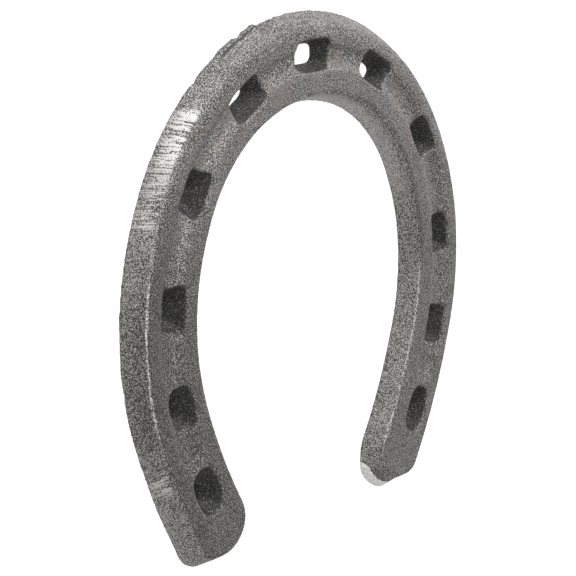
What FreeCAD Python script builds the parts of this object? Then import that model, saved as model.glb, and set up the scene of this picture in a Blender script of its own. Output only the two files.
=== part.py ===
import FreeCAD, Part
import math
import os
import Sketcher

# A cast iron horseshoe, standing on its heels with the toe up (+Z).
# The fullered face looks towards -Y and the flat hoof side towards +Y.
# X = 0 is the mirror plane, and the origin is under the middle of the shoe.

doc = FreeCAD.newDocument("horseshoe")
sheet = doc.addObject("Spreadsheet::Sheet", "dim")

# Lengths in millimetres, angles in degrees.
driving_sizes = [
    ("overall_height", 130.0, "heels to toe, on the larger hoof side"),
    ("thickness", 6.4, "fullered face to hoof side"),
    ("web", 16.9, "width of the iron on the fullered face"),
    ("outer_bevel", 2.8, "how far the outer wall flares towards the hoof side"),
    ("inner_bevel", 2.3, "how far the inner wall flares towards the hoof side"),
    ("toe_radius", 58.4, "outer edge round the toe"),
    ("toe_sweep", 63.5, "half of the toe arc"),
    ("side_radius", 76.5, "outer edge along the quarter"),
    ("side_sweep", 43.7, "turn of the quarter arc"),
    ("branch_radius", 156.0, "outer edge from the quarter to the heel"),
    ("heel_outer_radius", 5.2, "heel's outer corner"),
    ("heel_inner_radius", 7.6, "heel's inner corner"),
    ("heel_land", 3.8, "least web that the heel's two corners leave between them"),
    ("face_round", 1.0, "rounding of the fullered face's rim"),
    ("hoof_round", 0.3, "rounding of the hoof side's rim"),
    ("nail_inset", 8.4, "outer edge to the line of the nail holes"),
    ("fuller_width", 7.7, "groove that joins the nail holes, at the face"),
    ("fuller_depth", 1.5, "groove depth below the face"),
    ("fuller_slope", 30.0, "lean of the groove's sides"),
    ("nail_length", 12.0, "nail hole along the groove, at the face"),
    ("nail_width", 7.2, "nail hole across the groove, at the face"),
    ("nail_corner", 1.4, "corner radius of a nail hole"),
    ("heel_hole_length", 12.4, "long size of the heel hole, at the face"),
    ("heel_hole_width", 7.8, "short size of the heel hole, at the face"),
    ("hole_taper_along", 1.2, "how much each end of a hole closes in by the hoof side"),
    ("hole_taper_across", 1.1, "how much each long side closes in by the hoof side"),
    ("hole_lean", 0.5, "how far a hole drifts towards the inner edge by the hoof side"),
]
for row, (alias, value, note) in enumerate(driving_sizes, start=1):
    sheet.set(f"A{row}", alias)
    sheet.set(f"B{row}", str(value))
    sheet.set(f"C{row}", note)
    sheet.setAlias(f"B{row}", alias)

# Nail hole stations: the arc that each one lies on, and its direction from
# that arc's centre, measured from the toe.
nail_stations = [
    ("nail_one_angle", 28.5, "toe"),
    ("nail_two_angle", 59.5, "toe"),
    ("nail_three_angle", 84.0, "side"),
    ("nail_four_angle", 104.5, "side"),
]
heel_station = ("heel_hole_angle", 115.2, "branch")
first_station_row = len(driving_sizes) + 1
for row, (alias, value, arc) in enumerate(nail_stations + [heel_station], start=first_station_row):
    sheet.set(f"A{row}", alias)
    sheet.set(f"B{row}", str(value))
    sheet.set(f"C{row}", f"station on the {arc} arc")
    sheet.setAlias(f"B{row}", alias)
doc.recompute()


def number(formula):
    """Value of a sheet formula."""
    return float(sheet.evalExpression(formula))


# Centres of the three tangent arcs of the right half, as sheet formulas.
toe_x = "0"
toe_z = "(dim.overall_height - dim.outer_bevel - dim.toe_radius)"
toe_to_side = "(dim.toe_radius - dim.side_radius)"
side_x = f"({toe_to_side} * sin(dim.toe_sweep))"
side_z = f"({toe_z} + {toe_to_side} * cos(dim.toe_sweep))"
quarter_end = "(dim.toe_sweep + dim.side_sweep)"
side_to_branch = "(dim.side_radius - dim.branch_radius)"
branch_x = f"({side_x} + {side_to_branch} * sin({quarter_end}))"
branch_z = f"({side_z} + {side_to_branch} * cos({quarter_end}))"
arcs = {
    "toe": (toe_x, toe_z, "dim.toe_radius"),
    "side": (side_x, side_z, "dim.side_radius"),
    "branch": (branch_x, branch_z, "dim.branch_radius"),
}


def on_circle(centre, radius, angle):
    """Point at an angle measured from +Z towards +X."""
    turn = math.radians(angle)
    return (centre[0] + radius * math.sin(turn), centre[1] + radius * math.cos(turn))


def direction(start, end):
    """Angle of the line from start to end, measured from +Z towards +X."""
    return math.degrees(math.atan2(end[0] - start[0], end[1] - start[1]))


class HalfOutline:
    """Arcs and lines of a closed outline, drawn on both sides of X = 0 and bound to the sheet."""

    def __init__(self, sketch):
        self.sketch = sketch
        self.names = 0

    def bind(self, kind, arguments, formula):
        """Adds a dimension whose value follows a sheet formula."""
        self.names += 1
        name = f"size_{self.names}"
        value = number(formula)
        if kind == "Angle":
            value = math.radians(value)
        index = self.sketch.addConstraint(Sketcher.Constraint(kind, *arguments, value))
        self.sketch.renameConstraint(index, name)
        unit = " * 1 deg" if kind == "Angle" else " * 1 mm"
        self.sketch.setExpression(f"Constraints.{name}", f"({formula}){unit}")

    def arc(self, centre, radius, from_angle, to_angle, side=1):
        """An arc between two angles. Returns its number and its two ends."""
        if side < 0:
            centre = (-centre[0], centre[1])
            from_angle, to_angle = -from_angle, -to_angle
        low, high = sorted((90.0 - from_angle, 90.0 - to_angle))
        circle = Part.Circle(FreeCAD.Vector(*centre, 0), FreeCAD.Vector(0, 0, 1), radius)
        curve = Part.ArcOfCircle(circle, math.radians(low), math.radians(high))
        index = self.sketch.addGeometry(curve, False)
        first_end = 1 if 90.0 - from_angle == low else 2
        return index, (index, first_end), (index, 3 - first_end)

    def line(self, start, end, side=1):
        """A straight edge. Returns its two ends."""
        points = [FreeCAD.Vector(side * p[0], p[1], 0) for p in (start, end)]
        index = self.sketch.addGeometry(Part.LineSegment(*points), False)
        return (index, 1), (index, 2)

    def join(self, one, other):
        """Makes two edges meet smoothly."""
        self.sketch.addConstraint(Sketcher.Constraint("Tangent", *one, *other))

    def crown(self, radius_formula):
        """The arc that crosses X = 0 round the toe. Returns its right and left ends."""
        sweep = number("dim.toe_sweep")
        centre = (0.0, number(toe_z))
        index, left, right = self.arc(centre, number(radius_formula), -sweep, sweep)
        self.sketch.addConstraint(Sketcher.Constraint("Symmetric", *left, *right, -2))
        self.bind("Radius", (index,), radius_formula)
        self.bind("Angle", (index,), "2 * dim.toe_sweep")
        self.bind("DistanceY", (-1, 1, index, 3), toe_z)
        return {1: right, -1: left}

    def quarter(self, side, before, radius_formula):
        """The arc from the toe arc to the branch. Returns its far end."""
        centre = (number(side_x), number(side_z))
        angles = (number("dim.toe_sweep"), number(quarter_end))
        index, near, far = self.arc(centre, number(radius_formula), *angles, side)
        self.join(before, near)
        self.bind("Radius", (index,), radius_formula)
        self.bind("Angle", (index,), "dim.side_sweep")
        return far

    def branch(self, side, before, radius_formula, end_angle):
        """The arc from the quarter towards the heel. Returns its number and far end."""
        centre = (number(branch_x), number(branch_z))
        angles = (number(quarter_end), end_angle)
        index, near, far = self.arc(centre, number(radius_formula), *angles, side)
        self.join(before, near)
        self.bind("Radius", (index,), radius_formula)
        return index, far


def new_sketch(body, name, depth_formula):
    """A sketch parallel to XZ, at a distance towards -Y."""
    sketch = body.newObject("Sketcher::SketchObject", name)
    plane = [p for p in body.Origin.OriginFeatures if p.Role == "XZ_Plane"][0]
    sketch.AttachmentSupport = [(plane, "")]
    sketch.MapMode = "FlatFace"
    sketch.setExpression(".AttachmentOffset.Base.z", f"({depth_formula}) * 1 mm")
    return sketch


def shoe_outline(body, name, depth_formula, outer_flare, inner_flare):
    """The whole U, with its edges moved into the open by the two flares."""
    sketch = new_sketch(body, name, depth_formula)
    outline = HalfOutline(sketch)
    outer = {arc: f"{radius} + {outer_flare}" for arc, (x, z, radius) in arcs.items()}
    inner = {arc: f"{radius} - dim.web - {inner_flare}" for arc, (x, z, radius) in arcs.items()}
    outer_ends = outline.crown(outer["toe"])
    inner_ends = outline.crown(inner["toe"])
    inner_corner = "min(dim.heel_inner_radius; dim.web - dim.heel_outer_radius - dim.heel_land)"
    centre = (number(branch_x), number(branch_z))
    for side in (1, -1):
        corners = []
        for radii, ends, corner, reach in (
            (outer, outer_ends, "dim.heel_outer_radius", -1),
            (inner, inner_ends, inner_corner, 1),
        ):
            # The corner's circle touches the branch arc inside (outer edge) or outside (inner edge).
            corner_radius = f"{corner} + {outer_flare}"
            corner_height = f"{corner} + dim.outer_bevel"
            span = number(radii["branch"]) + reach * number(corner_radius)
            drop = number(corner_height) - centre[1]
            corner_centre = (centre[0] + math.sqrt(span**2 - drop**2), number(corner_height))
            meeting = direction(centre, corner_centre)
            far = outline.quarter(side, ends[side], radii["side"])
            index, far = outline.branch(side, far, radii["branch"], meeting)
            start = meeting if reach < 0 else meeting + 180.0
            index, near, bottom = outline.arc(
                corner_centre, number(corner_radius), start, 180.0, side
            )
            outline.join(far, near)
            outline.bind("Radius", (index,), corner_radius)
            outline.bind("DistanceY", (-1, 1, index, 3), corner_height)
            corners.append((corner_centre[0], number(corner_height) - number(corner_radius), bottom))
        (outer_x, bottom_z, outer_end), (inner_x, bottom_z, inner_end) = corners
        start, end = outline.line((outer_x, bottom_z), (inner_x, bottom_z), side)
        outline.join(outer_end, start)
        outline.join(end, inner_end)
    return sketch


def fuller_outline(body, name, depth_formula):
    """The band of the groove, with round ends at the heel holes."""
    sketch = new_sketch(body, name, depth_formula)
    outline = HalfOutline(sketch)
    station = "dim.heel_hole_angle"
    half_width = "dim.fuller_width / 2"
    outer = {arc: f"{radius} - dim.nail_inset + {half_width}" for arc, (x, z, radius) in arcs.items()}
    inner = {arc: f"{radius} - dim.nail_inset - {half_width}" for arc, (x, z, radius) in arcs.items()}
    outer_ends = outline.crown(outer["toe"])
    inner_ends = outline.crown(inner["toe"])
    centre = (number(branch_x), number(branch_z))
    for side in (1, -1):
        far_ends = []
        for radii, ends in ((outer, outer_ends), (inner, inner_ends)):
            far = outline.quarter(side, ends[side], radii["side"])
            index, far = outline.branch(side, far, radii["branch"], number(station))
            far_ends.append((index, far))
        outline.bind("Angle", (far_ends[0][0],), f"{station} - {quarter_end}")
        middle = on_circle(centre, number(f"{arcs['branch'][2]} - dim.nail_inset"), number(station))
        start = number(station)
        index, near, end = outline.arc(middle, number(half_width), start, start + 180.0, side)
        outline.join(far_ends[0][1], near)
        outline.join(end, far_ends[1][1])
    return sketch


def hole_outline(body, name, depth_formula, inset, station, arc, side, length, width, corner):
    """A rounded rectangle across the groove's line, long side along it."""
    sketch = new_sketch(body, name, depth_formula)
    centre_x, centre_z, radius = arcs[arc]
    reach = f"({radius} - {inset})"
    place_x = f"{side} * ({centre_x} + {reach} * sin({station}))"
    place_z = f"({centre_z} + {reach} * cos({station}))"
    turn = f"({station})" if side < 0 else f"(180 - {station})"
    turned = FreeCAD.Rotation(FreeCAD.Vector(0, 0, 1), 1.0)
    sketch.AttachmentOffset = FreeCAD.Placement(FreeCAD.Vector(0, 0, 0), turned)
    sketch.setExpression(".AttachmentOffset.Base.x", f"{place_x} * 1 mm")
    sketch.setExpression(".AttachmentOffset.Base.y", f"{place_z} * 1 mm")
    sketch.setExpression(".AttachmentOffset.Base.z", f"({depth_formula}) * 1 mm")
    sketch.setExpression(".AttachmentOffset.Rotation.Angle", f"{turn} * 1 deg")
    outline = HalfOutline(sketch)
    half_length = number(f"{length} / 2")
    half_width = number(f"{width} / 2")
    round_off = number(corner)
    straight = (half_length - round_off, half_width - round_off)
    corners = []
    for number_of_turns, (sign_x, sign_y) in enumerate(((1, 1), (-1, 1), (-1, -1), (1, -1))):
        middle = (sign_x * straight[0], sign_y * straight[1])
        first = 90.0 - 90.0 * number_of_turns
        index, start, end = outline.arc(middle, round_off, first, first - 90.0)
        outline.bind("Radius", (index,), corner)
        corners.append((index, start, end))
    for one, other in zip(corners, corners[1:] + corners[:1]):
        ends = [sketch.getPoint(*end) for end in (one[2], other[1])]
        start, end = outline.line(*[(p.x, p.y) for p in ends])
        outline.join(one[2], start)
        outline.join(end, other[1])
    opposite = (corners[0][0], 3, corners[2][0], 3, -1, 1)
    sketch.addConstraint(Sketcher.Constraint("Symmetric", *opposite))
    sketch.addConstraint(Sketcher.Constraint("Horizontal", corners[1][0], 3, corners[0][0], 3))
    outline.bind("DistanceX", (corners[1][0], 3, corners[0][0], 3), f"{length} - 2 * {corner}")
    outline.bind("DistanceY", (corners[3][0], 3, corners[0][0], 3), f"{width} - 2 * {corner}")
    return sketch


def cut_hole(body, name, station, arc, side, length, width, corner):
    """A hole that narrows from the fullered face to the hoof side."""
    where = (station, arc, side)
    mouth = hole_outline(
        body, f"{name}_mouth", "dim.thickness / 2", "dim.nail_inset", *where, length, width, corner
    )
    exit_length = f"({length} - 2 * dim.hole_taper_along)"
    exit_width = f"({width} - 2 * dim.hole_taper_across)"
    exit_corner = f"({corner} * {exit_width} / {width})"
    inset = "(dim.nail_inset + dim.hole_lean)"
    way_out = hole_outline(
        body, f"{name}_exit", "-dim.thickness / 2", inset, *where, exit_length, exit_width, exit_corner
    )
    before = body.Shape.Volume
    cut = body.newObject("PartDesign::SubtractiveLoft", name)
    cut.Profile = mouth
    cut.Sections = [way_out]
    cut.Ruled = True
    doc.recompute()
    if before - body.Shape.Volume < 0.3 * number(f"{length} * {width} * dim.thickness"):
        raise RuntimeError(f"{name} cut nothing")


def rim_rounding(body, name, base, towards_y, radius):
    """Rounds the whole rim of the face that looks along towards_y."""
    face_y = towards_y * number("dim.thickness") / 2
    rim = []
    for count, edge in enumerate(base.Shape.Edges, start=1):
        box = edge.BoundBox
        if max(abs(box.YMin - face_y), abs(box.YMax - face_y)) < 0.01:
            rim.append(f"Edge{count}")
    rounding = body.newObject("PartDesign::Fillet", name)
    rounding.Base = (base, rim)
    rounding.setExpression("Radius", f"{radius} * 1 mm")
    doc.recompute()


def make_horseshoe():
    body = doc.addObject("PartDesign::Body", "horseshoe")
    body.Label = "horseshoe"
    body.Placement = FreeCAD.Placement()

    # The iron flares from the fullered face to the wider hoof side.
    back = shoe_outline(body, "hoof_outline", "-dim.thickness / 2", "dim.outer_bevel", "dim.inner_bevel")
    front = shoe_outline(body, "face_outline", "dim.thickness / 2", "0", "0")
    iron = body.newObject("PartDesign::AdditiveLoft", "iron")
    iron.Profile = back
    iron.Sections = [front]
    iron.Ruled = True
    doc.recompute()

    rim_rounding(body, "face_rim", iron, -1, "dim.face_round")
    rim_rounding(body, "hoof_rim", body.Tip, 1, "dim.hoof_round")

    groove = body.newObject("PartDesign::Pocket", "fuller")
    groove.Profile = fuller_outline(body, "fuller_outline", "dim.thickness / 2")
    groove.Type = "Length"
    groove.setExpression("Length", "dim.fuller_depth * 1 mm")
    groove.setExpression("TaperAngle", "-dim.fuller_slope * 1 deg")
    doc.recompute()

    nail = ("dim.nail_length", "dim.nail_width", "dim.nail_corner")
    oval = ("dim.heel_hole_length", "dim.heel_hole_width", "(dim.heel_hole_width / 2 - 0.1)")
    cut_hole(body, "toe_hole", "0", "toe", 1, *nail)
    for side, side_name in ((1, "right"), (-1, "left")):
        for count, (alias, value, arc) in enumerate(nail_stations, start=1):
            cut_hole(body, f"{side_name}_nail_{count}", f"dim.{alias}", arc, side, *nail)
        alias, value, arc = heel_station
        cut_hole(body, f"{side_name}_heel_hole", f"dim.{alias}", arc, side, *oval)
    return body


horseshoe = make_horseshoe()
doc.recompute()
for item in doc.Objects:
    if "Invalid" in item.State or "Error" in item.State:
        raise RuntimeError(f"{item.Label} failed: {item.State}")

os.makedirs("parts", exist_ok=True)
for part in (horseshoe,):
    if part.Shape.isNull() or not part.Shape.isValid():
        raise RuntimeError(f"{part.Label} has no valid shape")
    part.Shape.exportStep(f"parts/{part.Label}.step")
    box = part.Shape.BoundBox
    print(part.Label, len(part.Shape.Solids), "solid,", round(part.Shape.Volume), "mm3,", box)
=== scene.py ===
import math

import bmesh
import bpy
import numpy as np
from mathutils import Matrix, Vector


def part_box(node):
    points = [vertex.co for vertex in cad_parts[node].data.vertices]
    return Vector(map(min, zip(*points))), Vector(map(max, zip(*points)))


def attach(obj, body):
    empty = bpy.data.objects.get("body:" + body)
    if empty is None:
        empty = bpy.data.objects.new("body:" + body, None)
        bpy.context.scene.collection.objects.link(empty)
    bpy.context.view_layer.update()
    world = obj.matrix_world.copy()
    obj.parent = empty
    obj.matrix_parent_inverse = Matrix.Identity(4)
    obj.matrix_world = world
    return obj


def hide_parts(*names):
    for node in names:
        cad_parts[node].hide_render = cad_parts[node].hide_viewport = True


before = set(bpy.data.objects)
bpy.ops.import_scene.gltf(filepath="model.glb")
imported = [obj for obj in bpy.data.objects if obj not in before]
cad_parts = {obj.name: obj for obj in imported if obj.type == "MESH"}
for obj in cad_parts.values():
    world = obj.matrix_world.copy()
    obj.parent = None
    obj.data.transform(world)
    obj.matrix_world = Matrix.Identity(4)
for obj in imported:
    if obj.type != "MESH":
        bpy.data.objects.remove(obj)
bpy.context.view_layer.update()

mm = 0.001


# nodes, written as sums

class Wire:
    # one socket, so that sums of sockets and numbers can be written as sums
    def __init__(self, desk, socket):
        self.desk = desk
        self.socket = socket

    def maths(self, operation, other, swap=False):
        first, second = (other, self) if swap else (self, other)
        made = self.desk.add("ShaderNodeMath", {"operation": operation}, {0: first, 1: second})
        return made["Value"]

    def __add__(self, other):
        return self.maths("ADD", other)

    def __radd__(self, other):
        return self.maths("ADD", other, True)

    def __sub__(self, other):
        return self.maths("SUBTRACT", other)

    def __rsub__(self, other):
        return self.maths("SUBTRACT", other, True)

    def __mul__(self, other):
        return self.maths("MULTIPLY", other)

    def __rmul__(self, other):
        return self.maths("MULTIPLY", other, True)


class Desk:
    # adds nodes to one tree: the node's type, its settings, then its sockets
    def __init__(self, tree):
        self.tree = tree

    def add(self, kind, settings=None, sockets=None):
        node = self.tree.nodes.new(kind)
        for name, value in (settings or {}).items():
            if name == "stops":
                for stop in range(len(value) - 2):
                    node.color_ramp.elements.new(0.5)
                for element, (place, colour) in zip(node.color_ramp.elements, value):
                    element.position = place
                    element.color = colour
            else:
                setattr(node, name, value)
        for name, value in (sockets or {}).items():
            if isinstance(name, int):
                socket = node.inputs[name]
            else:
                socket = [s for s in node.inputs if s.enabled and s.name == name][0]
            for item in value if isinstance(value, list) else [value]:
                if isinstance(item, Wire):
                    self.tree.links.new(item.socket, socket)
                else:
                    socket.default_value = item
        outputs = {}
        for socket in node.outputs:
            if socket.enabled:
                outputs.setdefault(socket.name, Wire(self, socket))
        return outputs

    def step(self, value, low, high):
        # 0 below low, 1 above high, smooth between
        return self.add(
            "ShaderNodeMapRange",
            {"interpolation_type": "SMOOTHSTEP"},
            {"Value": value, "From Min": low, "From Max": high, "To Min": 0.0, "To Max": 1.0},
        )["Result"]

    def noise(self, place, size, detail=2.0, roughness=0.5, turn=0.0):
        # values near 0.5, with features about one size across
        return self.add(
            "ShaderNodeTexNoise",
            {"noise_dimensions": "4D"},
            {"Vector": place, "W": turn, "Scale": 1.0 / size, "Detail": detail, "Roughness": roughness},
        )["Fac"]


def newTree(name, inputs):
    # a Geometry Nodes tree with named inputs. Returns its desk, its input wires and its output node
    tree = bpy.data.node_groups.new(name, "GeometryNodeTree")
    tree.interface.new_socket(name="Geometry", in_out="INPUT", socket_type="NodeSocketGeometry")
    for label, (kind, value) in inputs.items():
        socket = tree.interface.new_socket(name=label, in_out="INPUT", socket_type=kind)
        if isinstance(value, (int, float)):
            socket.default_value = value
    tree.interface.new_socket(name="Geometry", in_out="OUTPUT", socket_type="NodeSocketGeometry")
    desk = Desk(tree)
    into = desk.add("NodeGroupInput")
    out = tree.nodes.new("NodeGroupOutput")
    return desk, into, out


def useTree(piece, desk, inputs, given):
    # puts the tree on the piece and gives its inputs their values, the given ones first
    modifier = piece.modifiers.new(desk.tree.name, "NODES")
    modifier.node_group = desk.tree
    for item in desk.tree.interface.items_tree:
        if item.in_out == "INPUT" and item.name in inputs:
            modifier[item.identifier] = given.get(item.name, inputs[item.name][1])


def plainMesh(piece, name):
    # the evaluated piece as a plain mesh
    graph = bpy.context.evaluated_depsgraph_get()
    mesh = bpy.data.meshes.new_from_object(piece.evaluated_get(graph))
    mesh.name = name
    return mesh


def closeShape(piece):
    # merges doubled points and turns every face outwards
    shape = bmesh.new()
    shape.from_mesh(piece.data)
    bmesh.ops.remove_doubles(shape, verts=shape.verts, dist=1e-7)
    bmesh.ops.recalc_face_normals(shape, faces=shape.faces)
    shape.to_mesh(piece.data)
    shape.free()


def newObject(name, vertices, edges=(), faces=()):
    mesh = bpy.data.meshes.new(name)
    mesh.from_pydata([tuple(v) for v in vertices], list(edges), list(faces))
    mesh.update()
    piece = bpy.data.objects.new(name, mesh)
    bpy.context.scene.collection.objects.link(piece)
    return piece


# the plan of the shoe

shoe = {
    "height": 130.05,        # mm, toe to heels
    "thickness": 6.25,       # flat side to grooved face
    "web": 16.55,            # width of the bar at the grooved face
    "outerFlare": 3.55,      # how much wider the flat side is, outside
    "innerFlare": 2.2,       # and inside
    "toeRadius": 57.75,
    "toeSweep": 63.5,        # degrees each side of the toe
    "sideRadius": 75.85,
    "sideSweep": 43.7,
    "branchRadius": 155.4,
    "heelOuter": 4.3,        # corners of the heels
    "heelInner": 7.8,
    "bottom": 0.17,          # height of the heels' lowest point
    "toeRound": 2.3,         # rounding of the grooved face's outer edge round the toe
    "branchRound": 0.5,      # and along the branches
    "innerToeRound": 1.0,    # rounding of its inner edge round the toe
    "innerRound": 0.45,
    "backRound": 0.45,       # rounding of the flat side's edges
    "stations": (40, 34, 44, 14, 4),    # spans round the toe, side, branch, heel corner and heel end
    "levels": 13,            # rings of points from the grooved face to the flat side, less two
    "toeReach": (45.0, 88.0),           # mm along the edge over which the toe's rounding gives way
}

toeZ = shoe["height"] - shoe["outerFlare"] - shoe["toeRadius"]
toeEnd = math.radians(shoe["toeSweep"])
sideEnd = toeEnd + math.radians(shoe["sideSweep"])
sideCentre = (
    (shoe["toeRadius"] - shoe["sideRadius"]) * math.sin(toeEnd),
    toeZ + (shoe["toeRadius"] - shoe["sideRadius"]) * math.cos(toeEnd),
)
branchCentre = (
    sideCentre[0] + (shoe["sideRadius"] - shoe["branchRadius"]) * math.sin(sideEnd),
    sideCentre[1] + (shoe["sideRadius"] - shoe["branchRadius"]) * math.cos(sideEnd),
)
toeLength = shoe["toeRadius"] * toeEnd
sideLength = shoe["sideRadius"] * (sideEnd - toeEnd)


def planPoint(along, inset):
    # (x, z, angle) of a point on the right half, along its outer edge from the toe, inset inwards
    if along <= toeLength:
        centre, radius, angle = (0.0, toeZ), shoe["toeRadius"], along / shoe["toeRadius"]
    elif along <= toeLength + sideLength:
        centre, radius = sideCentre, shoe["sideRadius"]
        angle = toeEnd + (along - toeLength) / radius
    else:
        centre, radius = branchCentre, shoe["branchRadius"]
        angle = sideEnd + (along - toeLength - sideLength) / radius
    reach = radius - inset
    return centre[0] + reach * math.sin(angle), centre[1] + reach * math.cos(angle), angle


def planArcs(x, z):
    # for arrays of points: distance from the mirror plane, angle about each arc's centre, and the arc
    # that each point belongs to
    right = np.abs(x)
    toeAngle = np.arctan2(right, z - toeZ)
    sideAngle = np.arctan2(right - sideCentre[0], z - sideCentre[1])
    branchAngle = np.arctan2(right - branchCentre[0], z - branchCentre[1])
    onToe = toeAngle <= toeEnd
    onSide = ~onToe & (sideAngle <= sideEnd)
    return right, (toeAngle, sideAngle, branchAngle), onToe, onSide


def planPlace(x, z):
    # along and inset for arrays of points; along is negative on the left half
    right, (toeAngle, sideAngle, branchAngle), onToe, onSide = planArcs(x, z)
    along = np.where(
        onToe,
        toeAngle * shoe["toeRadius"],
        np.where(
            onSide,
            toeLength + (sideAngle - toeEnd) * shoe["sideRadius"],
            toeLength + sideLength + (branchAngle - sideEnd) * shoe["branchRadius"],
        ),
    )
    inset = np.where(
        onToe,
        shoe["toeRadius"] - np.hypot(right, z - toeZ),
        np.where(
            onSide,
            shoe["sideRadius"] - np.hypot(right - sideCentre[0], z - sideCentre[1]),
            shoe["branchRadius"] - np.hypot(right - branchCentre[0], z - branchCentre[1]),
        ),
    )
    return along * np.sign(x + 1e-9), inset


def planDirection(x, z):
    # the outward direction in plan, (x, z), for arrays of points
    right, (toeAngle, sideAngle, branchAngle), onToe, onSide = planArcs(x, z)
    angle = np.where(onToe, toeAngle, np.where(onSide, sideAngle, branchAngle))
    return np.sin(angle) * np.sign(x + 1e-9), np.cos(angle)


def smoothStep(value, low, high):
    # 0 below low, 1 above high, smooth between
    t = np.clip((value - low) / (high - low), 0.0, 1.0)
    return t * t * (3.0 - 2.0 * t)


def hump(value, riseStart, riseEnd, fallStart, fallEnd):
    # rises smoothly from 0 to 1, stays there, and falls back to 0
    return smoothStep(value, riseStart, riseEnd) * (1.0 - smoothStep(value, fallStart, fallEnd))


def bell(value, middle, width):
    # 1 at the middle, fading out over about one width each way
    return np.exp(-(((value - middle) / width) ** 2))


def arcPoints(centre, radius, start, end, count, outwards, flare):
    # points of one arc, each as (x, z, normal x, normal z, flare)
    rows = []
    for k in range(count + 1):
        angle = start + (end - start) * k / count
        s, c = math.sin(angle), math.cos(angle)
        rows.append((centre[0] + radius * s, centre[1] + radius * c, outwards * s, outwards * c, flare))
    return rows


def halfEdges():
    # the outer and the inner edge of the right half, from the toe to the middle of the heel's end
    toe, side, branch, corner, end = shoe["stations"]
    edges = []
    ends = []
    for inset, outwards, cornerRadius, flare in (
        (0.0, 1.0, shoe["heelOuter"], shoe["outerFlare"]),
        (shoe["web"], -1.0, shoe["heelInner"], shoe["innerFlare"]),
    ):
        low = shoe["bottom"] + shoe["outerFlare"] + cornerRadius
        reach = shoe["branchRadius"] - inset - outwards * cornerRadius
        cornerX = branchCentre[0] + math.sqrt(reach ** 2 - (low - branchCentre[1]) ** 2)
        meeting = math.atan2(cornerX - branchCentre[0], low - branchCentre[1])
        toeReach = shoe["toeRadius"] - inset
        sideReach = shoe["sideRadius"] - inset
        branchReach = shoe["branchRadius"] - inset
        rows = arcPoints((0.0, toeZ), toeReach, 0.0, toeEnd, toe, outwards, flare)
        rows += arcPoints(sideCentre, sideReach, toeEnd, sideEnd, side, outwards, flare)[1:]
        rows += arcPoints(branchCentre, branchReach, sideEnd, meeting, branch, outwards, flare)[1:]
        start = meeting if outwards > 0 else meeting + math.pi
        turn = arcPoints((cornerX, low), cornerRadius, start, math.pi, corner, 1.0, flare)[1:]
        for k, row in enumerate(turn):
            share = (k + 1) / corner
            rows.append(row[:4] + (flare + (shoe["outerFlare"] - flare) * share,))
        edges.append(rows)
        ends.append(cornerX)
    middle = (ends[0] + ends[1]) / 2.0
    bottomZ = edges[0][-1][1]
    for rows, start in zip(edges, ends):
        for k in range(1, end + 1):
            rows.append((start + (middle - start) * k / end, bottomZ, 0.0, -1.0, shoe["outerFlare"]))
    return np.array(edges[0]), np.array(edges[1])


def blankMesh():
    # the closed bar before its groove and holes, as levels from the grooved face to the flat side
    outer, inner = halfEdges()
    count = len(outer)
    flip = np.array([-1.0, 1.0, -1.0, 1.0, 1.0])
    loop = np.vstack([outer, inner[-2::-1], (inner * flip)[1:], (outer * flip)[-2:0:-1]])
    isInner = np.zeros(len(loop), dtype=bool)
    isInner[count:3 * count - 2] = True
    along, inset = planPlace(loop[:, 0], loop[:, 1])
    toeShare = 1.0 - smoothStep(np.abs(along), *shoe["toeReach"])
    outerRound = shoe["branchRound"] + (shoe["toeRound"] - shoe["branchRound"]) * toeShare
    innerRound = shoe["innerRound"] + (shoe["innerToeRound"] - shoe["innerRound"]) * toeShare
    frontRound = np.where(isInner, innerRound, outerRound)
    depth = shoe["thickness"]
    quarter = (shoe["levels"] - 1) // 2
    vertices = []
    for level in range(shoe["levels"] + 2):
        if level <= quarter:
            angle = math.pi / 2.0 * level / quarter
            down = frontRound * (1.0 - math.cos(angle))
            pull = frontRound * (1.0 - math.sin(angle))
        else:
            angle = math.pi / 2.0 * (shoe["levels"] + 1 - level) / quarter
            down = depth - shoe["backRound"] * (1.0 - math.cos(angle))
            pull = np.full(len(loop), shoe["backRound"] * (1.0 - math.sin(angle)))
        share = down / depth
        shift = loop[:, 4] * share - pull
        xs = loop[:, 0] + loop[:, 2] * shift
        zs = loop[:, 1] + loop[:, 3] * shift
        ys = -depth / 2.0 + down + np.zeros(len(loop))
        vertices.append(np.stack([xs, ys, zs], axis=1))
    vertices = np.vstack(vertices) * mm
    size = len(loop)
    faces = []
    for level in range(shoe["levels"] + 1):
        for k in range(size):
            low, high = level * size, (level + 1) * size
            faces.append((low + k, low + (k + 1) % size, high + (k + 1) % size, high + k))

    def capFaces(base, left):
        # quads across the bar, and one triangle at the heel's end
        for k in range(count - 1):
            if left:
                outerNow, outerNext = (size - k) % size, size - k - 1
                innerNow, innerNext = 2 * count - 2 + k, 2 * count - 1 + k
            else:
                outerNow, outerNext = k, k + 1
                innerNow, innerNext = 2 * count - 2 - k, 2 * count - 3 - k
            ring = [outerNow, outerNext, innerNext, innerNow]
            ring = [base + r for i, r in enumerate(ring) if r not in ring[:i]]
            yield tuple(ring)

    for base in (0, (shoe["levels"] + 1) * size):
        for left in (False, True):
            faces += list(capFaces(base, left))
    piece = newObject("blank", vertices, faces=faces)
    closeShape(piece)
    return piece


# groove and nail holes

groove = {
    "inset": 7.35,          # mm from the outer edge to the groove's middle line
    "floorWidth": 3.0,
    "topWidth": 15.4,       # width of the cutter at its top
    "cutterHeight": 4.0,
    "depth": 1.50,          # along the branches
    "toeDepth": 1.10,       # shallower round the toe
    "toeReach": (26.0, 62.0),
    "end": 138.0,           # mm along the outer edge
    "runOut": 6.0,          # over which it comes up to the face
}

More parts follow.
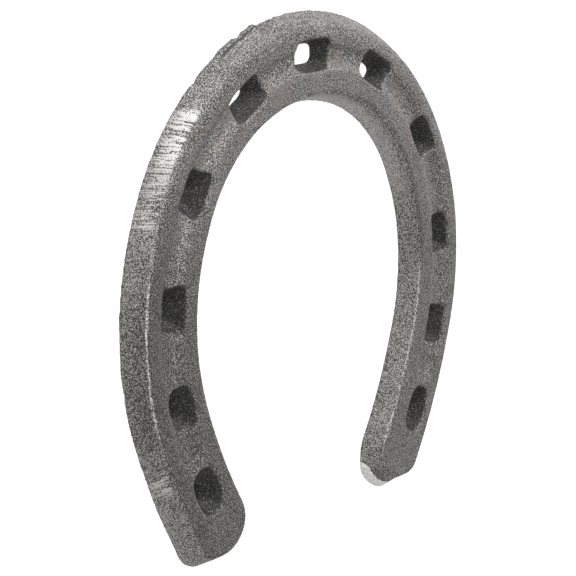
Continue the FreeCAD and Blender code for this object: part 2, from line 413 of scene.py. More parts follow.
holes = {
    # along the outer edge, mm; length and width at the grooved face; inset; turn, degrees
    "toe": [(0.0, 13.4, 8.0, 6.9, 0.0)],
    "right": [
        (29.0, 12.6, 7.8, 7.1, 1.0),
        (61.4, 12.6, 7.6, 7.1, -1.0),
        (92.4, 12.8, 7.2, 7.3, 0.5),
        (119.4, 12.2, 7.2, 6.8, 0.0),
    ],
    "left": [
        (29.0, 12.8, 8.0, 8.15, 1.5),
        (60.7, 12.8, 7.9, 8.9, 0.5),
        (91.7, 12.4, 7.7, 8.95, -0.5),
    ],
    "rightHeel": [(143.8, 12.6, 7.8, 6.8, 0.0)],
    "leftHeel": [(119.2, 12.8, 7.6, 9.35, 1.0), (144.2, 13.4, 8.6, 8.7, 0.0)],
    # the flat side's openings: length and width as shares of the mouth, shift towards the inner edge
    "backs": {"toe": (0.66, 0.54, 0.2), "nail": (0.42, 0.32, -0.15), "heel": (0.42, 0.20, -1.2)},
    "shake": 0.015,         # random change of size, as a share
    "seed": 7,
}


punch = {
    # squareness of each kind of hole: 2 is an ellipse, and more is squarer
    "squareness": {"toe": 4.4, "nail": 4.4, "heel": 2.7},
    "sides": 48,
    "levels": 5,
    "over": (2.0, 1.5),     # mm that a punch stands out of the grooved face and of the flat side
    "mouthFlare": 0.03,     # how much wider the mouth is, as a share
    "meanWidth": 7.5,       # mm, width of the hole that the shift in backs is given for
}


def grooveDepth(along):
    # mm, shallower round the toe
    share = smoothStep(np.abs(along), *groove["toeReach"])
    return groove["toeDepth"] + (groove["depth"] - groove["toeDepth"]) * share


def punchMesh(kind):
    # a tapered plug of unit length and width at the grooved face, lying along X, its width along Z
    power, back = punch["squareness"][kind], holes["backs"][kind]
    sides, levels = punch["sides"], punch["levels"]
    half = shoe["thickness"] / 2.0
    top, bottom = -half - punch["over"][0], half + punch["over"][1]
    vertices = []
    for level in range(levels):
        y = top + (bottom - top) * level / (levels - 1)
        share = (y + half) / shoe["thickness"]
        flareOut = punch["mouthFlare"] * smoothStep(-y, half - 0.5, half + 1.2)
        long = 0.5 * (1.0 + (back[0] - 1.0) * share + flareOut)
        wide = 0.5 * (1.0 + (back[1] - 1.0) * share + flareOut)
        for k in range(sides):
            angle = 2.0 * math.pi * k / sides
            c, s = math.cos(angle), math.sin(angle)
            x = math.copysign(abs(c) ** (2.0 / power), c) * long
            z = math.copysign(abs(s) ** (2.0 / power), s) * wide
            z -= back[2] / punch["meanWidth"] * max(0.0, share)
            vertices.append((x * mm, y * mm, z * mm))
    faces = [tuple(range(sides))[::-1], tuple((levels - 1) * sides + k for k in range(sides))]
    for level in range(levels - 1):
        for k in range(sides):
            low, high = level * sides, (level + 1) * sides
            faces.append((low + k, low + (k + 1) % sides, high + (k + 1) % sides, high + k))
    piece = newObject(kind + " punch", vertices, faces=faces)
    closeShape(piece)
    return piece


def holePlaces(name, groups):
    # one vertex for each hole, with its turn and its size
    places, turns, lengths, widths = [], [], [], []
    for group in groups:
        side = -1.0 if group.startswith("left") else 1.0
        for along, length, width, inset, turn in holes[group]:
            x, z, angle = planPoint(along, inset)
            places.append((side * x * mm, 0.0, z * mm))
            turns.append(side * (angle + math.radians(turn)))
            lengths.append(length)
            widths.append(width)
    piece = newObject(name, places)
    for label, values in (("turn", turns), ("length", lengths), ("width", widths)):
        piece.data.attributes.new(label, "FLOAT", "POINT").data.foreach_set("value", values)
    return piece


def grooveLine():
    # the middle line of the groove's floor, from heel to heel
    steps = 150
    points = []
    for k in range(-steps, steps + 1):
        along = abs(k) / steps * groove["end"]
        x, z, _ = planPoint(along, groove["inset"])
        deep = grooveDepth(along)
        deep -= groove["depth"] * smoothStep(along, groove["end"] - groove["runOut"], groove["end"])
        points.append((math.copysign(x, k) * mm, (deep - shoe["thickness"] / 2.0) * mm, z * mm))
    return newObject("groove line", points, edges=[(k, k + 1) for k in range(2 * steps)])


def cutTree():
    inputs = {
        "Groove line": ("NodeSocketObject", None),
        "Floor width": ("NodeSocketFloat", groove["floorWidth"] * mm),
        "Top width": ("NodeSocketFloat", groove["topWidth"] * mm),
        "Cutter height": ("NodeSocketFloat", groove["cutterHeight"] * mm),
        "Toe place": ("NodeSocketObject", None),
        "Toe punch": ("NodeSocketObject", None),
        "Nail places": ("NodeSocketObject", None),
        "Nail punch": ("NodeSocketObject", None),
        "Heel places": ("NodeSocketObject", None),
        "Heel punch": ("NodeSocketObject", None),
        "Size shake": ("NodeSocketFloat", holes["shake"]),
        "Seed": ("NodeSocketInt", holes["seed"]),
        "Finish": ("NodeSocketMaterial", None),
    }
    desk, into, out = newTree("groove and nail holes", inputs)
    line = desk.add("GeometryNodeObjectInfo", None, {"Object": into["Groove line"]})["Geometry"]
    path = desk.add("GeometryNodeMeshToCurve", None, {"Mesh": line})["Curve"]
    path = desk.add(
        "GeometryNodeSetCurveNormal", {"mode": "FREE"}, {"Curve": path, "Normal": (0.0, -1.0, 0.0)}
    )["Curve"]
    section = desk.add(
        "GeometryNodeCurvePrimitiveQuadrilateral",
        {"mode": "TRAPEZOID"},
        {
            "Bottom Width": into["Floor width"],
            "Top Width": into["Top width"],
            "Height": into["Cutter height"],
            "Offset": 0.0,
        },
    )["Curve"]
    rise = desk.add("ShaderNodeCombineXYZ", None, {"X": 0.0, "Y": into["Cutter height"] * 0.5, "Z": 0.0})
    section = desk.add(
        "GeometryNodeTransform", None, {"Geometry": section, "Translation": rise["Vector"]}
    )["Geometry"]
    section = desk.add(
        "GeometryNodeTransform", None, {"Geometry": section, "Rotation": (0.0, 0.0, -math.pi / 2.0)}
    )["Geometry"]
    trench = desk.add(
        "GeometryNodeCurveToMesh", None, {"Curve": path, "Profile Curve": section, "Fill Caps": True}
    )["Mesh"]
    cutters = [trench]
    pairs = (("Toe place", "Toe punch"), ("Nail places", "Nail punch"), ("Heel places", "Heel punch"))
    for places, punch in pairs:
        points = desk.add("GeometryNodeObjectInfo", None, {"Object": into[places]})["Geometry"]
        plug = desk.add("GeometryNodeObjectInfo", None, {"Object": into[punch]})["Geometry"]
        read = {}
        for label in ("turn", "length", "width"):
            read[label] = desk.add(
                "GeometryNodeInputNamedAttribute", {"data_type": "FLOAT"}, {"Name": label}
            )["Attribute"]
        change = desk.add(
            "FunctionNodeRandomValue",
            {"data_type": "FLOAT"},
            {"Min": 1.0 - into["Size shake"], "Max": 1.0 + into["Size shake"], "Seed": into["Seed"]},
        )["Value"]
        size = desk.add(
            "ShaderNodeCombineXYZ",
            None,
            {"X": read["length"] * change, "Y": 1.0, "Z": read["width"] * change},
        )["Vector"]
        angles = desk.add("ShaderNodeCombineXYZ", None, {"X": 0.0, "Y": read["turn"], "Z": 0.0})["Vector"]
        turned = desk.add("FunctionNodeEulerToRotation", None, {"Euler": angles})["Rotation"]
        plugs = desk.add(
            "GeometryNodeInstanceOnPoints",
            None,
            {"Points": points, "Instance": plug, "Rotation": turned, "Scale": size},
        )["Instances"]
        cutters.append(desk.add("GeometryNodeRealizeInstances", None, {"Geometry": plugs})["Geometry"])
    cut = desk.add(
        "GeometryNodeMeshBoolean",
        {"operation": "DIFFERENCE", "solver": "EXACT"},
        {"Mesh 1": into["Geometry"], "Mesh 2": cutters, "Self Intersection": True},
    )["Mesh"]
    cut = desk.add("GeometryNodeRealizeInstances", None, {"Geometry": cut})["Geometry"]
    done = desk.add("GeometryNodeSetMaterial", None, {"Geometry": cut, "Material": into["Finish"]})
    desk.tree.links.new(done["Geometry"].socket, out.inputs[0])
    return desk, inputs


def castBlank():
    # the bar with its groove and holes cut, remeshed evenly so that the skin can be worked
    blank = blankMesh()
    helpers = {
        "Groove line": grooveLine(),
        "Toe place": holePlaces("toe place", ("toe",)),
        "Toe punch": punchMesh("toe"),
        "Nail places": holePlaces("nail places", ("right", "left")),
        "Nail punch": punchMesh("nail"),
        "Heel places": holePlaces("heel places", ("rightHeel", "leftHeel")),
        "Heel punch": punchMesh("heel"),
    }
    desk, inputs = cutTree()
    useTree(blank, desk, inputs, {**helpers, "Finish": finish})
    remesh = blank.modifiers.new("even faces", "REMESH")
    remesh.mode = "VOXEL"
    remesh.voxel_size = skin["faceSize"] * mm
    remesh.use_smooth_shade = True
    mesh = plainMesh(blank, "horseshoe casting")
    for piece in [blank] + list(helpers.values()):
        bpy.data.objects.remove(piece)
    return mesh


# the cast skin and its marks

skin = {
    "faceSize": 0.45,        # mm
    "smooth": 2,             # passes that soften the cut edges
    "wave": 0.10,            # mm, slow unevenness of the casting
    "waveSize": 13.0,
    "lump": 0.070,           # mm, sand grain
    "lumpSize": 1.3,
    "ridge": 0.13,           # mm, ridges across the walls
    "ridgeSize": 1.3,
    "ridgeLean": (0.35, 0.16),    # how far the ridges lean, and how long they are: less is longer
    "innerRidge": 0.45,      # ridges on the inner wall, as a share
    "softening": 0.35,       # of each smoothing pass
    "seed": 3.0,
}

marks = {
    # filed bright stretches of the left wall: start and end along the edge, strength
    "filed": [(-60.0, -43.0, 0.90), (-74.0, -59.0, 0.68), (-138.0, -131.0, 0.55)],
    "filedDepth": 0.12,          # mm
    "topWall": (-46.0, 2.0),     # smoother stretch of the wall near the toe
    "lip": (-30.0, -14.0),       # casting flash along the wall
    "lipHeight": 0.45,           # mm
    "lipTip": 0.35,              # mm, how much more it stands up near its end
    "nicks": [(-37.5, 2.6), (-20.8, 2.6), (-110.0, 2.9)],    # along the edge, and y
    "nickDepth": 0.55,           # mm
    "nickSize": 0.9,
    "crispOuter": (-128.0, -70.0),    # where the thin bright edge, a painted highlight, runs outside on the left
    "crispInner": 96.0,               # and from where it runs inside on the right
}

broken = {
    "start": (26.4, 2.6, 7.2),    # mm, the stub's two ends
    "end": (33.2, 1.8, 1.0),
    "size": (2.5, 2.2, 2.5),
    "pull": (-0.55, 0.0, -0.85),
}

squareHeel = {
    "place": (-45.2, 2.6, 4.6),    # mm
    "size": 3.4,
    "pull": (-0.2, 0.0, -0.1),
}

# slow changes of tone: more than 0 is paler, and less is darker. Many of them are painted light and painted
# shade
tones = {
    "face": -0.17,
    "lowFace": -0.14,         # painted shade, darker down the branches towards the heels, twice as much on the left one
    "innerStrip": -0.05,      # face between the groove and the inner edge
    "outerStrip": -0.18,      # painted shade on the face outside the left branch's groove, darker towards the heel
    "litSlope": 0.20,             # painted light on the inner slope of the groove
    "shaded": -0.16,          # outer slope of the groove
    "rim": -0.34,             # painted shade along the inner edge of the right branch
    "toeCorner": -0.25,       # painted shade dimming the highlight on the rounded outer edge left of the toe
    # painted shade over the wall near the toe, where the light from above falls strongest
    "topWall": -0.17,
    "lowWall": -0.18,         # left branch's outer wall
    "lowWallFront": -0.20,    # and the part of it near the grooved face
    # painted light on the left heel's outer wall, which lies in shade
    "heelWall": 0.15,
    "innerHigh": 0.34,        # painted light on the inner wall round the toe, which faces down
    "innerBranch": -0.13,
    "innerLow": 0.08,         # painted light on the inner wall near the right heel
}


def holeShare(along, inset, share):
    # 1 inside a hole, 0 on the face and in the groove round it
    pit = np.zeros(len(along))
    slopeRun = (groove["topWidth"] - groove["floorWidth"]) / 2.0 / groove["cutterHeight"]
    offMiddle = np.maximum(np.abs(inset - groove["inset"]) - groove["floorWidth"] / 2.0, 0.0)
    floorShare = np.clip(grooveDepth(along) - offMiddle / slopeRun, 0.0, None) / shoe["thickness"]
    for group in ("toe", "right", "left", "rightHeel", "leftHeel"):
        side = -1.0 if group.startswith("left") else 1.0
        for place, length, width, middle, _ in holes[group]:
            alongHere = along * side if place > 0 else along
            bend = shoe["toeRadius"] if place < toeLength else 100.0    # mm, roughly, past the toe
            near = (np.abs(alongHere - place) * (1.0 - middle / bend) < length / 2.0 + 0.1) & (
                np.abs(inset - middle) < width / 2.0 + 0.2
            )
            mouth = floorShare * (np.abs(place) < groove["end"]) + 0.03
            pit = np.where(near, np.maximum(pit, smoothStep(share, mouth, mouth + 0.07)), pit)
    return pit


def tonePlaces(along, inset, share, onFace, pit, walls):
    # where each of the tones lies; along, far and inset are in mm, and share runs from face to flat side
    outerWall, innerWall, topWall = walls
    left = (along < 0).astype(float)
    far = np.abs(along)
    inGroove = onFace * (1.0 - smoothStep(far, 134.0, 142.0)) * (1.0 - pit)
    # painted light: the groove's inner slope, which faces up, is made paler
    litSlope = bell(inset, groove["inset"] + 2.1, 1.1) * inGroove
    litSlope *= 1.0 - 0.7 * smoothStep(far, 100.0, 125.0)
    litSlope *= 1.0 - 0.6 * left * (1.0 - smoothStep(far, 50.0, 66.0))
    # painted shade: the groove's outer slope, which faces down, is made darker
    shaded = bell(inset, groove["inset"] - 2.0, 1.9) * inGroove
    return {
        "face": onFace,
        # painted shade: the face darker down the branches, away from the light above
        "lowFace": onFace * smoothStep(far, 55.0, 95.0) * (1.0 + left),
        "innerStrip": onFace * smoothStep(inset, 11.0, 12.5),
        # painted shade on the face outside the left branch's groove
        "outerStrip": onFace * left * smoothStep(far, 48.0, 72.0) * (1.0 - smoothStep(inset, 2.5, 5.0)),
        "litSlope": litSlope,
        "shaded": shaded * (1.0 - 0.6 * smoothStep(far, 60.0, 100.0)),
        # painted shade along the rounded inner edge of the right branch
        "rim": bell(inset, shoe["web"] - 0.6, 0.8) * (share < 0.2) * hump(along, 4.0, 20.0, 90.0, 106.0),
        # painted shade on the rounded outer edge left of the toe
        "toeCorner": bell(inset, 0.9, 1.5) * (share < 0.35) * (1.0 - smoothStep(far, 45.0, 70.0)) * left,
        # painted shade on the wall near the toe
        "topWall": topWall,
        "lowWall": outerWall * hump(-along, 86.0, 96.0, 116.0, 130.0),
        "lowWallFront": outerWall * (1.0 - smoothStep(share, 0.3, 0.95)) * smoothStep(-along, 76.0, 96.0),
        # painted light on the left heel's outer wall
        "heelWall": outerWall * smoothStep(-along, 120.0, 140.0),
        # painted light on the inner wall round the toe
        "innerHigh": innerWall * (0.6 + smoothStep(share, 0.1, 0.5)) * (1.0 - smoothStep(far, 55.0, 95.0)),
        "innerBranch": innerWall * smoothStep(far, 20.0, 50.0),
        # painted light on the inner wall near the right heel
        "innerLow": innerWall * smoothStep(along, 100.0, 122.0),
    }


def pulledCorners(points):
    # the broken stub at the right heel's inner back corner, and the left heel's squarer outer corner
    start, end = np.array(broken["start"]), np.array(broken["end"])
    place = np.clip((points - start) @ (end - start) / ((end - start) @ (end - start)), 0.0, 1.0)
    away = (points - start - place[:, None] * (end - start)) / np.array(broken["size"])
    stub = np.exp(-((away ** 2).sum(axis=1)))
    points = points + stub[:, None] * np.array(broken["pull"])
    away = (points - np.array(squareHeel["place"])) / squareHeel["size"]
    points += np.exp(-((away ** 2).sum(axis=1)))[:, None] * np.array(squareHeel["pull"])
    return points, stub


def markedMesh(mesh):
    # the casting with its hand marks, and the attributes that its finish reads
    count = len(mesh.vertices)
    points, normals = np.empty(count * 3), np.empty(count * 3)
    mesh.vertices.foreach_get("co", points)
    mesh.vertices.foreach_get("normal", normals)
    points = points.reshape(-1, 3) / mm
    normals = normals.reshape(-1, 3)
    along, inset = planPlace(points[:, 0], points[:, 2])
    share = (points[:, 1] + shoe["thickness"] / 2.0) / shoe["thickness"]
    ahead = np.stack(planDirection(points[:, 0], points[:, 2]), axis=1)
    outwards = normals[:, 0] * ahead[:, 0] + normals[:, 2] * ahead[:, 1]
    outerWall = smoothStep(outwards, 0.35, 0.75) * (inset < 4.0)
    innerWall = smoothStep(-outwards, 0.35, 0.75) * (inset > shoe["web"] - 4.0)
    onFace = (normals[:, 1] < -0.3) * (share < 0.45) * (1.0 - outerWall) * (1.0 - innerWall)
    pit = holeShare(along, inset, share) * (1.0 - smoothStep(normals[:, 1], 0.25, 0.6))
    filed = np.zeros(count)
    for start, end, strength in marks["filed"]:
        stretch = hump(along, start - 1.5, start + 2.0, end - 2.0, end + 1.5)
        filed = np.maximum(filed, stretch * strength)
    filed *= outerWall * smoothStep(share, 0.10, 0.22) * (1.0 - 0.6 * smoothStep(share, 0.45, 0.9))
    start, end = marks["topWall"]
    topWall = outerWall * hump(along, start, start + 16.0, end - 18.0, end + 12.0)
    # where the painted highlight runs along the front edges
    start, end = marks["crispOuter"]
    crisp = np.where(
        inset < shoe["web"] / 2.0,
        hump(along, start, start + 10.0, end - 10.0, end),
        smoothStep(along, marks["crispInner"], marks["crispInner"] + 8.0),
    )
    placesOfTones = tonePlaces(along, inset, share, onFace, pit, (outerWall, innerWall, topWall))
    # the slow tones, painted light and painted shade among them
    paleness = sum(tones[name] * placesOfTones[name] for name in tones)

    # filed places are flattened a little, the flash stands up, nicks go in
    push = -marks["filedDepth"] * filed
    start, end = marks["lip"]
    lip = hump(along, start, start + 3.0, end - 1.5, end) * smoothStep(share, 0.68, 0.78) * outerWall
    push += lip * (marks["lipHeight"] + marks["lipTip"] * bell(along, end - 1.6, 1.1))
    for place, y in marks["nicks"]:
        nick = bell(along, place, marks["nickSize"]) * bell(points[:, 1], y, marks["nickSize"])
        push -= marks["nickDepth"] * nick * outerWall
    points, stub = pulledCorners(points + normals * push[:, None])

    mesh.vertices.foreach_set("co", (points * mm).ravel())
    values = {
        "along": along,
        "inset": inset,
        "outerWall": outerWall,
        "innerWall": innerWall,
        "pit": pit,
        "filed": filed,
        "topWall": topWall,
        "crisp": crisp,
        "paleness": paleness,
        "broken": stub,
    }
    for label, value in values.items():
        mesh.attributes.new(label, "FLOAT", "POINT").data.foreach_set("value", value.astype(np.float32))
    mesh.update()


def skinTree():
    inputs = {
        "Wave": ("NodeSocketFloat", skin["wave"] * mm),
        "Wave size": ("NodeSocketFloat", skin["waveSize"] * mm),
        "Lump": ("NodeSocketFloat", skin["lump"] * mm),
        "Lump size": ("NodeSocketFloat", skin["lumpSize"] * mm),
        "Ridge": ("NodeSocketFloat", skin["ridge"] * mm),
        "Ridge size": ("NodeSocketFloat", skin["ridgeSize"]),
        "Seed": ("NodeSocketFloat", skin["seed"]),
        "Finish": ("NodeSocketMaterial", None),
    }
    desk, into, out = newTree("cast skin", inputs)
    place = desk.add("GeometryNodeInputPosition")["Position"]
    normal = desk.add("GeometryNodeInputNormal")["Normal"]
    read = {}
    for label in ("along", "outerWall", "innerWall", "filed", "pit", "topWall"):
        read[label] = desk.add(
            "GeometryNodeInputNamedAttribute", {"data_type": "FLOAT"}, {"Name": label}
        )["Attribute"]

    def noiseAt(vector, size, detail, turn):
        scale = desk.add("ShaderNodeMath", {"operation": "DIVIDE"}, {0: 1.0, 1: size})["Value"]
        return desk.add(
            "ShaderNodeTexNoise",
            {"noise_dimensions": "4D"},
            {"Vector": vector, "W": into["Seed"] + turn, "Scale": scale, "Detail": detail, "Roughness": 0.5},
        )["Fac"] - 0.5

    wave = noiseAt(place, into["Wave size"], 1.0, 0.0)
    lump = noiseAt(place, into["Lump size"], 2.0, 5.0)
    parts = desk.add("ShaderNodeSeparateXYZ", None, {"Vector": place})
    slope = parts["Y"] * (1.0 / mm)
    line = desk.add(
        "ShaderNodeCombineXYZ",
        None,
        {
            "X": read["along"] + slope * skin["ridgeLean"][0],
            "Y": slope * skin["ridgeLean"][1],
            "Z": read["outerWall"] * 3.0,
        },
    )["Vector"]
    ridge = noiseAt(line, into["Ridge size"], 1.0, 9.0)
    walls = (read["outerWall"] + read["innerWall"] * skin["innerRidge"]) * (1.0 - read["topWall"] * 0.6)
    rough = 1.0 - read["filed"] * 0.5
    height = wave * (into["Wave"] * 2.0) + lump * (into["Lump"] * 2.0) * rough
    height = height + ridge * (into["Ridge"] * 2.0) * walls
    height = height * (1.0 - read["pit"] * 0.4)
    offset = desk.add("ShaderNodeVectorMath", {"operation": "SCALE"}, {"Vector": normal, "Scale": height})
    moved = desk.add(
        "GeometryNodeSetPosition", None, {"Geometry": into["Geometry"], "Offset": offset["Vector"]}
    )["Geometry"]
    moved = desk.add("GeometryNodeRealizeInstances", None, {"Geometry": moved})["Geometry"]
    done = desk.add("GeometryNodeSetMaterial", None, {"Geometry": moved, "Material": into["Finish"]})
    desk.tree.links.new(done["Geometry"].socket, out.inputs[0])
    return desk, inputs


def keptInside(mesh):
    # the casting's size is the frame's, so no grain stands out of its box
    points = np.empty(len(mesh.vertices) * 3)
    mesh.vertices.foreach_get("co", points)
    points = points.reshape(-1, 3)
    low, high = [np.array(corner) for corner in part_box("horseshoe")]
    slack = 0.01 * mm
    mesh.vertices.foreach_set("co", np.clip(points, low + slack, high - slack).ravel())
    mesh.update()


# cast iron

iron = {
    "grainSize": 0.24,       # mm
    "coarseSize": 1.1,
    "blotchSize": 7.0,
    "dark": (0.028, 0.027, 0.026, 1.0),
    "middle": (0.096, 0.094, 0.090, 1.0),
    "light": (0.40, 0.392, 0.376, 1.0),
    "brown": (0.155, 0.118, 0.098, 1.0),
    # bright filed metal, and the painted highlight dots along the edges
    "bright": (0.66, 0.655, 0.63, 1.0),
    "pale": (0.80, 0.80, 0.77, 1.0),
    "broken": (0.42, 0.42, 0.40, 1.0),       # hollows of the broken stub
    # painted shade: near black on the walls of the nail holes
    "hole": (0.012, 0.012, 0.011, 1.0),
    "fleckSize": 0.28,       # mm, bright specks: grain of the iron, and painted glints
    "scratchSize": 0.50,
    "wideScratchSize": 1.6,
    "grainContrast": 5.4,
    "coarseContrast": 0.4,
    "blotchContrast": 0.35,
    "scratchContrast": 1.0,
    "brownFrom": (0.062, 0.10),     # m, height over which the brown cast comes in
    "crackWidth": (0.12, 0.30),     # mm, dark line under the casting flash, a painted shadow
    "crispOuterWidth": (0.28, 0.36),    # mm, thin bright edges, painted highlights
    "crispInnerWidth": (0.29, 0.40),
    "wallLean": 1.13,        # evens out the outer wall's larger flare
    "metallic": 0.22,
    "roughness": 0.66,
    "bumpDepth": 0.08,       # mm
}


def ironFinish():
    material = bpy.data.materials.new("cast iron, raw")
    material.use_nodes = True
    material.node_tree.nodes.clear()
    desk = Desk(material.node_tree)
    place = desk.add("ShaderNodeTexCoord")["Object"]
    read = {}
    for label in (
        "along", "inset", "outerWall", "innerWall", "pit", "filed", "topWall", "crisp", "paleness", "broken"
    ):
        read[label] = desk.add("ShaderNodeAttribute", {"attribute_name": label})["Fac"]
    parts = desk.add("ShaderNodeSeparateXYZ", None, {"Vector": place})
    across = parts["Y"] * (1.0 / mm)

    grain = desk.noise(place, iron["grainSize"] * mm, 0.6, 0.5)
    coarse = desk.noise(place, iron["coarseSize"] * mm, 1.0, 0.5, 3.0)
    blotch = desk.noise(place, iron["blotchSize"] * mm, 2.0, 0.5, 6.0)
    fleck = desk.noise(place, iron["fleckSize"] * mm, 0.0, 0.5, 12.0)
    line = desk.add(
        "ShaderNodeCombineXYZ",
        None,
        {"X": read["along"] + across * 0.30, "Y": across * 0.10, "Z": read["innerWall"] * 4.0},
    )["Vector"]
    scratch = desk.noise(line, iron["scratchSize"], 2.0, 0.6, 1.0)
    wideScratch = desk.noise(line, iron["wideScratchSize"], 1.0, 0.5, 2.0)

    walls = read["outerWall"] + read["innerWall"]
    tone = (grain - 0.5) * iron["grainContrast"] + (coarse - 0.5) * iron["coarseContrast"]
    tone = tone + (blotch - 0.5) * iron["blotchContrast"] + 0.5
    # paleness holds the slow tones, many of them painted light and painted shade
    tone = tone + (scratch - 0.5) * walls * iron["scratchContrast"] + read["paleness"]
    sparkle = desk.step(fleck, 0.60, 0.72)
    colour = desk.add(
        "ShaderNodeValToRGB",
        {"stops": [(0.12, iron["dark"]), (0.5, iron["middle"]), (0.95, iron["light"])]},
        {"Fac": tone},
    )["Color"]

    def blended(factor, under, over):
        return desk.add(
            "ShaderNodeMix",
            {"data_type": "RGBA", "blend_type": "MIX", "clamp_factor": True},
            {"Factor": factor, "A": under, "B": over},
        )["Result"]

    # bright specks of the grain, which are also painted glints
    colour = blended(sparkle * 0.6, colour, iron["light"])
    brownPlace = desk.step(blotch, 0.52, 0.68) * desk.step(parts["Z"], *iron["brownFrom"])
    colour = blended(brownPlace * 0.35 * (1.0 - read["topWall"]), colour, iron["brown"])
    # painted shadow: a dark line under the casting flash
    lipMiddle = (read["along"] - marks["lip"][0]) * 0.025 + 1.35
    flashShadowBand = desk.step(read["along"], marks["lip"][0], marks["lip"][0] + 2.0)
    flashShadowBand = flashShadowBand * (1.0 - desk.step(read["along"], marks["lip"][1] - 1.0, marks["lip"][1]))
    fromLine = across - lipMiddle - (coarse - 0.5) * 0.5
    offLine = desk.add("ShaderNodeMath", {"operation": "ABSOLUTE"}, {0: fromLine})["Value"]
    crack = (1.0 - desk.step(offLine, *iron["crackWidth"])) * flashShadowBand * read["outerWall"]
    colour = blended(crack * 0.95, colour, iron["dark"])
    ahead = across + shoe["thickness"] / 2.0
    # painted highlight: bright dots along the crisp front edges
    outerEdge = 1.0 - desk.step(read["inset"] + ahead * iron["wallLean"], *iron["crispOuterWidth"])
    innerEdge = 1.0 - desk.step(ahead - read["inset"] + shoe["web"], *iron["crispInnerWidth"])
    edgeHighlightDots = (outerEdge + innerEdge) * read["crisp"] * desk.step(fleck, 0.46, 0.56)
    colour = blended(edgeHighlightDots * 0.9, colour, iron["bright"])
    filedLines = scratch + (wideScratch - 0.5) * 0.5 + (grain - 0.5) * 0.6 + read["filed"] * 0.13
    filedLines = desk.step(filedLines, 0.53, 0.62) * read["filed"]
    colour = blended(read["filed"] * 0.35, colour, iron["dark"])
    colour = blended(filedLines, colour, iron["bright"])
    edge = read["broken"] + (coarse - 0.5) * 0.3
    colour = blended(desk.step(edge, 0.26, 0.32) * 0.8, colour, iron["dark"])
    pale = blended(desk.step(grain, 0.42, 0.62), iron["broken"], iron["pale"])
    colour = blended(desk.step(edge, 0.36, 0.42), colour, pale)
    # painted shade in the nail holes: their walls made near black, less so at the bright specks
    colour = blended(read["pit"] * (1.0 - sparkle * 0.6) * 0.88, colour, iron["hole"])

    roughness = iron["roughness"] - sparkle * 0.12 - read["topWall"] * 0.08 - filedLines * 0.15
    height = grain * 0.75 + coarse * 0.55 + scratch * walls * 0.6 - filedLines * 0.3
    bump = desk.add(
        "ShaderNodeBump",
        None,
        {"Strength": 1.0, "Distance": iron["bumpDepth"] * mm, "Height": height},
    )["Normal"]
    shader = desk.add(
        "ShaderNodeBsdfPrincipled",
        None,
        {"Base Color": colour, "Metallic": iron["metallic"], "Roughness": roughness, "Normal": bump},
    )["BSDF"]
    desk.add("ShaderNodeOutputMaterial", None, {"Surface": shader})
    return material


# making the piece

finish = ironFinish()
print("finish made")
casting = castBlank()
print("blank cut and remeshed:", len(casting.vertices), "points")
softened = bmesh.new()
softened.from_mesh(casting)
for smoothing in range(skin["smooth"]):
    bmesh.ops.smooth_vert(
        softened,
        verts=softened.verts,
        factor=skin["softening"],
        use_axis_x=True,
        use_axis_y=True,
        use_axis_z=True,
    )
softened.to_mesh(casting)
softened.free()
casting.update()
markedMesh(casting)
horseshoe = bpy.data.objects.new("cast_horseshoe", casting)
bpy.context.scene.collection.objects.link(horseshoe)
desk, inputs = skinTree()
useTree(horseshoe, desk, inputs, {"Finish": finish})
skinned = plainMesh(horseshoe, "cast_horseshoe")
horseshoe.modifiers.clear()
horseshoe.data = skinned
keptInside(skinned)
skinned.polygons.foreach_set("use_smooth", [True] * len(skinned.polygons))
skinned.update()
print("skin done:", len(skinned.polygons), "faces")

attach(horseshoe, "root")
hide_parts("horseshoe")


# floor, light and camera

studio = {
    "floorSize": 6.0,               # m, half its width
    "cameraTarget": (-11.10, -3.2, 64.75),    # mm
    "cameraTurn": -50.0,            # degrees
    "cameraRise": 14.51,
    "cameraRoll": -0.5,
    "cameraDistance": 471.28,       # mm
    "lens": 122.36,                 # mm
    "skyLight": 0.12,
    "groundLight": 0.86,
    "keyPlace": (0.0, -0.40, 0.66),
    "keyPower": 3.9,
    "keySize": 0.32,
    "keyAim": (0.0, 0.0, 0.065),
    "skyEdge": (-0.35, 0.45),       # over which the ground's light gives way to the sky's
    "sensor": 36.0,                 # mm
    "floorColour": (0.15, 0.15, 0.15, 1.0),
    "floorGlow": 1.0,
}

corners = ((-1, -1), (1, -1), (1, 1), (-1, 1))
floor = newObject(
    "studio floor",
    [(x * studio["floorSize"], y * studio["floorSize"], 0.0) for x, y in corners],
    faces=[(0, 1, 2, 3)],
)
floorFinish = bpy.data.materials.new("pale floor")
floorFinish.use_nodes = True
floorFinish.node_tree.nodes.clear()
floorDesk = Desk(floorFinish.node_tree)
floorShader = floorDesk.add(
    "ShaderNodeBsdfPrincipled",
    None,
    {
        "Base Color": studio["floorColour"],
        "Roughness": 0.9,
        "Emission Color": (1.0, 1.0, 1.0, 1.0),
        "Emission Strength": studio["floorGlow"],
    },
)["BSDF"]
floorDesk.add("ShaderNodeOutputMaterial", None, {"Surface": floorShader})
floor.data.materials.append(floorFinish)
# the floor is seen but sends no light up, so that the groove's slopes keep their shade
floor.visible_diffuse = False
floor.visible_glossy = False

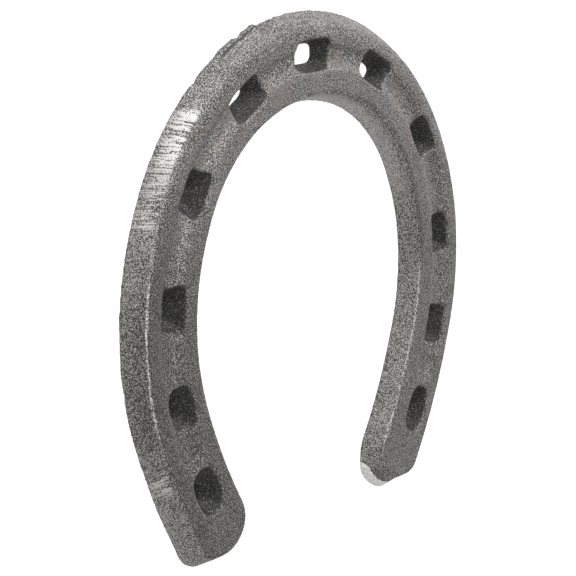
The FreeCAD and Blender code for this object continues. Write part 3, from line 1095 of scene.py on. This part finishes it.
world = bpy.data.worlds.new("soft white studio")
world.use_nodes = True
world.node_tree.nodes.clear()
worldDesk = Desk(world.node_tree)
seen = worldDesk.add("ShaderNodeLightPath")["Is Camera Ray"]
ray = worldDesk.add("ShaderNodeTexCoord")["Generated"]
height = worldDesk.add("ShaderNodeSeparateXYZ", None, {"Vector": ray})["Z"]
strength = worldDesk.step(height, *studio["skyEdge"]) * studio["skyLight"] + studio["groundLight"]
glow = worldDesk.add("ShaderNodeBackground", None, {"Color": (1, 1, 1, 1), "Strength": strength})
white = worldDesk.add("ShaderNodeBackground", None, {"Color": (1, 1, 1, 1), "Strength": 1.0})
sky = worldDesk.add(
    "ShaderNodeMixShader", None, {"Fac": seen, 1: glow["Background"], 2: white["Background"]}
)["Shader"]
worldDesk.add("ShaderNodeOutputWorld", None, {"Surface": sky})
bpy.context.scene.world = world
bpy.context.scene.view_settings.view_transform = "Standard"


def areaLight(name, place, aim, power, size):
    light = bpy.data.lights.new(name, "AREA")
    light.energy = power
    light.size = size
    piece = bpy.data.objects.new(name, light)
    bpy.context.scene.collection.objects.link(piece)
    piece.location = place
    piece.rotation_euler = (Vector(aim) - Vector(place)).to_track_quat("-Z", "Y").to_euler()


areaLight("key light", studio["keyPlace"], studio["keyAim"], studio["keyPower"], studio["keySize"])

turn, rise = math.radians(studio["cameraTurn"]), math.radians(studio["cameraRise"])
back = Vector((math.sin(turn) * math.cos(rise), -math.cos(turn) * math.cos(rise), math.sin(rise)))
right = (-back).cross(Vector((0.0, 0.0, 1.0))).normalized()
up = right.cross(-back)
roll = math.radians(studio["cameraRoll"])
right, up = right * math.cos(roll) + up * math.sin(roll), up * math.cos(roll) - right * math.sin(roll)
lens = bpy.data.cameras.new("camera")
lens.sensor_width = studio["sensor"]
lens.lens = studio["lens"]
lens.clip_start = 0.01
camera = bpy.data.objects.new("camera", lens)
bpy.context.scene.collection.objects.link(camera)
place = (Vector(studio["cameraTarget"]) + back * studio["cameraDistance"]) * mm
camera.matrix_world = Matrix.Translation(place) @ Matrix((right, up, back)).transposed().to_4x4()
bpy.context.scene.camera = camera
print("studio set")
